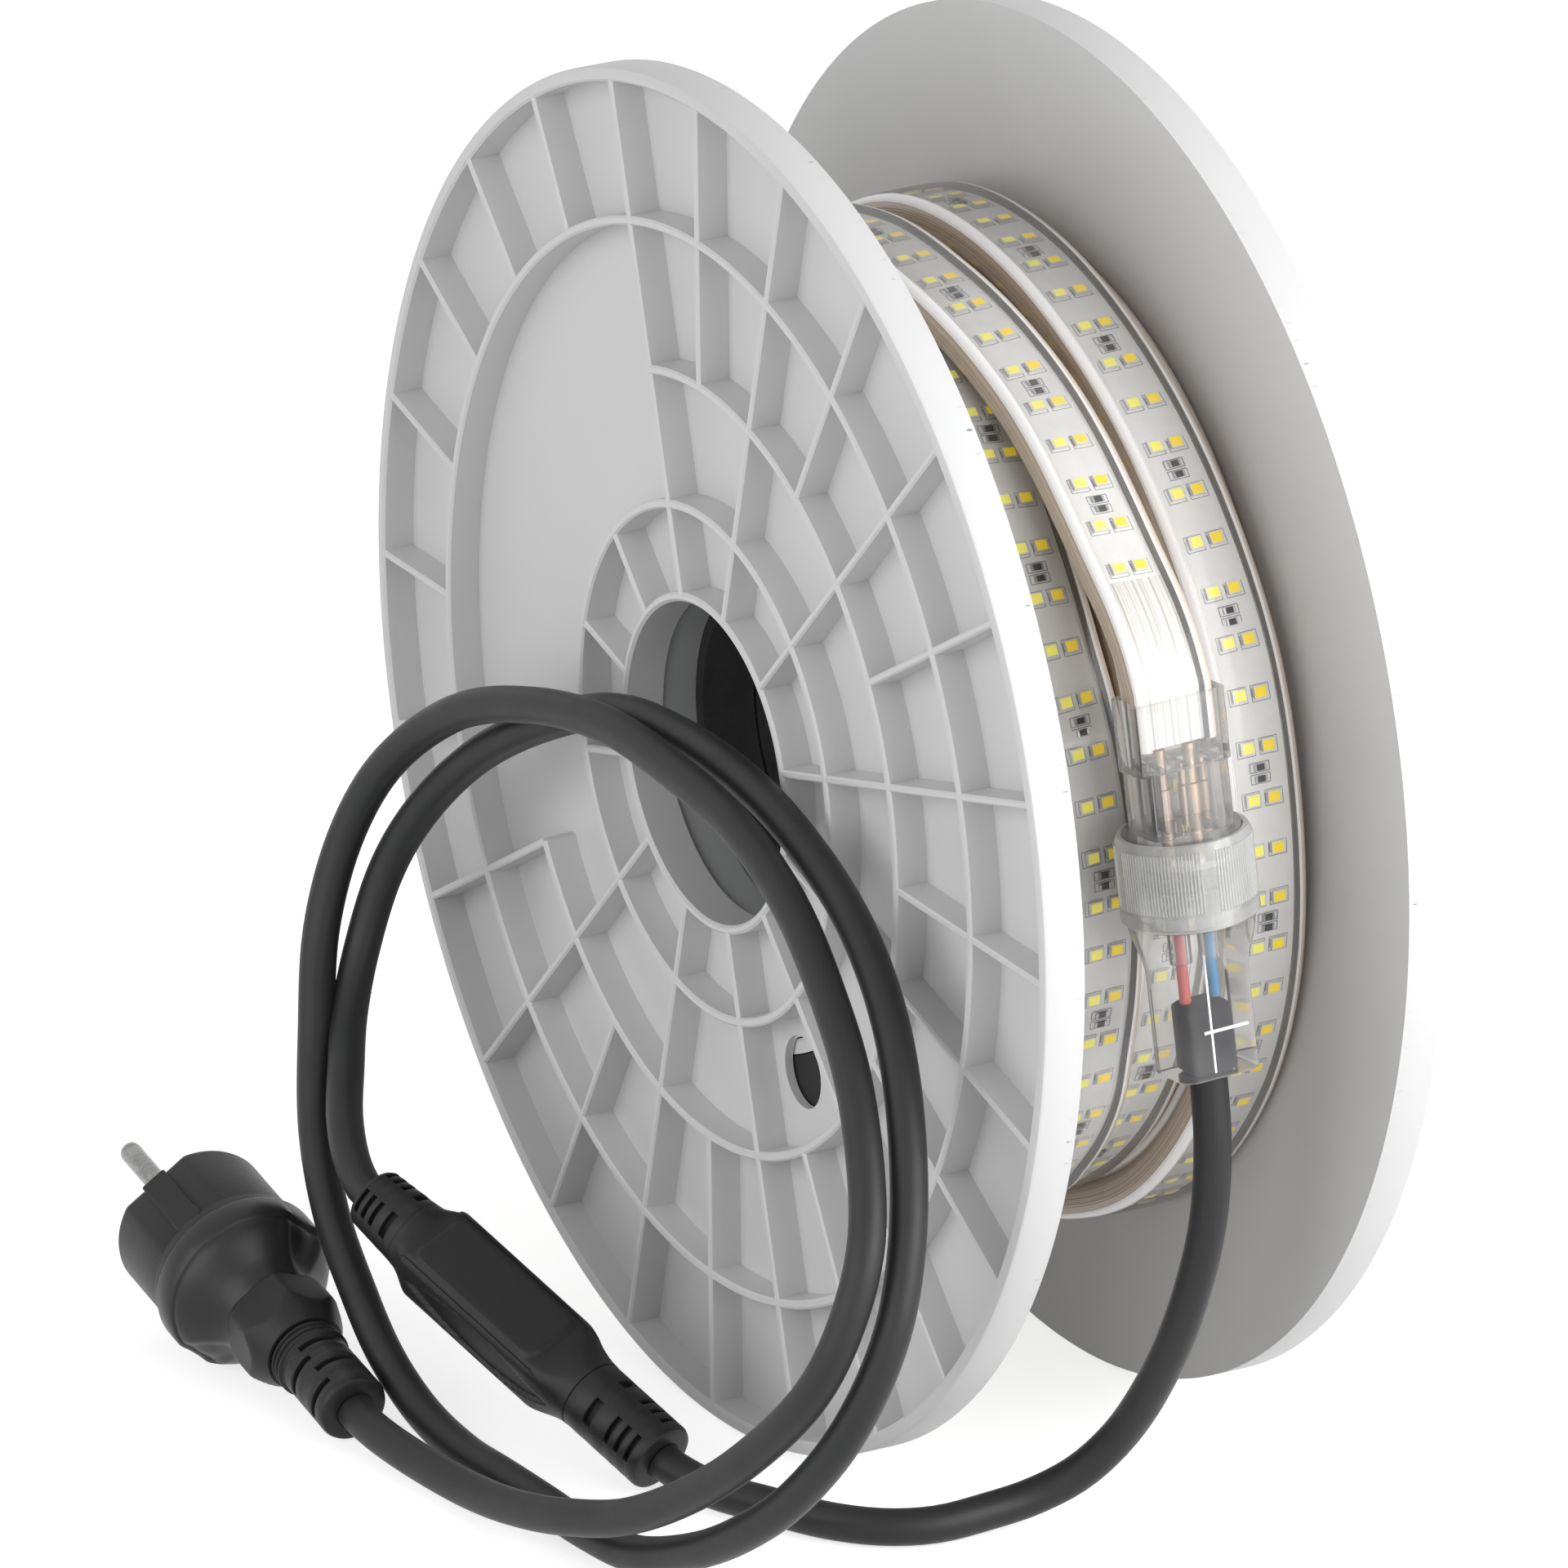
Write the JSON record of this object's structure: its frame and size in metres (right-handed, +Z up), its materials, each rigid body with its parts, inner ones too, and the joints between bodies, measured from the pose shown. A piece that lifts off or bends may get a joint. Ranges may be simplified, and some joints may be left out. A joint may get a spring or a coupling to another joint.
{
  "type": "led rope light reel",
  "caption": "Flat clear rope light wound on a ribbed grey plastic reel, with a clear screw connector, a black in-line rectifier and a looped mains lead with a round two-pin plug",
  "frame": {"origin": "on the ground plane, halfway between the flanges, below the reel's axis", "axes": "X is the reel's axis, with the flange nearer the viewer at +X; Z is up; Y is across, with the connector and the free leads' loops at +Y"},
  "size_m": [0.1885, 0.3, 0.3],
  "materials": {
    "flange_plastic": "light grey moulded plastic, satin",
    "hub_plastic": "mid grey moulded plastic, satin",
    "core_liner": "black, coarse and dull",
    "rope_sleeve": "clear soft sleeve over a white strip",
    "clear_plastic": "clear moulded plastic, slightly milky",
    "nickel": "bright nickel plate",
    "seal_rubber": "pale soft rubber",
    "cable_rubber": "black rubber cable, soft sheen",
    "black_moulding": "black moulded rubber, soft sheen",
    "red_insulation": "red wire insulation",
    "blue_insulation": "blue wire insulation"
  },
  "bodies": {
    "root": {"near_flange": "flange_plastic", "far_flange": "flange_plastic", "drum_barrel": "flange_plastic", "hub_tube": "hub_plastic", "core_liner": "core_liner", "wound_rope": "rope_sleeve", "strip_socket": "clear_plastic", "contact_pin_1": "nickel", "contact_pin_2": "nickel", "seal_ring": "seal_rubber", "union_nut": "clear_plastic", "cable_plug_body": "clear_plastic", "grommet": "black_moulding", "red_core": "red_insulation", "blue_core": "blue_insulation", "feed_lead": "cable_rubber", "mains_lead": "cable_rubber", "rectifier_relief_reel": "black_moulding", "rectifier_body": "black_moulding", "rectifier_relief_mains": "black_moulding", "bridge_rectifier": "black_moulding", "plug_relief": "black_moulding", "gland_nut": "black_moulding", "plug_body": "black_moulding", "plug_face": "black_moulding", "plug_pin_1": "nickel", "plug_pin_2": "nickel"}
  },
  "joints": []
}
